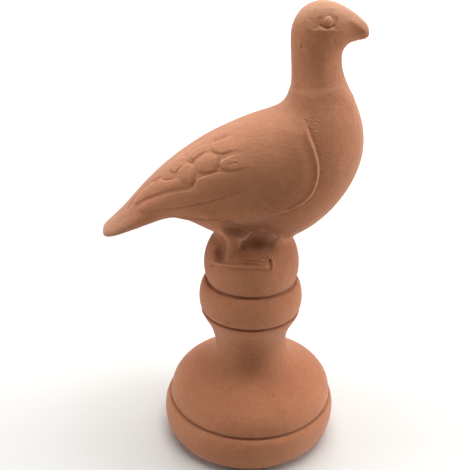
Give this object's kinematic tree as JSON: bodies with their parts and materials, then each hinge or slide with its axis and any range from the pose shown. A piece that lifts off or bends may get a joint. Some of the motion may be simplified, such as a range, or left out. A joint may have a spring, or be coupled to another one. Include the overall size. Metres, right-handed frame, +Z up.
{
  "type": "ridge finial",
  "caption": "Terracotta ridge finial: a pigeon with folded wings standing on a turned stand with a domed foot, a waisted stem, a collar and a round cap.",
  "frame": {"origin": "centre of the flat underside, on the stand's turning axis", "axes": "+Z up along the stand's turning axis, +X the way the bird faces, +Y to the bird's left"},
  "size_m": [0.2098, 0.1524, 0.3835],
  "materials": {
    "terracotta": "matt fired red clay, unglazed"
  },
  "bodies": {
    "root": {"pigeon_finial": "terracotta"}
  },
  "joints": []
}
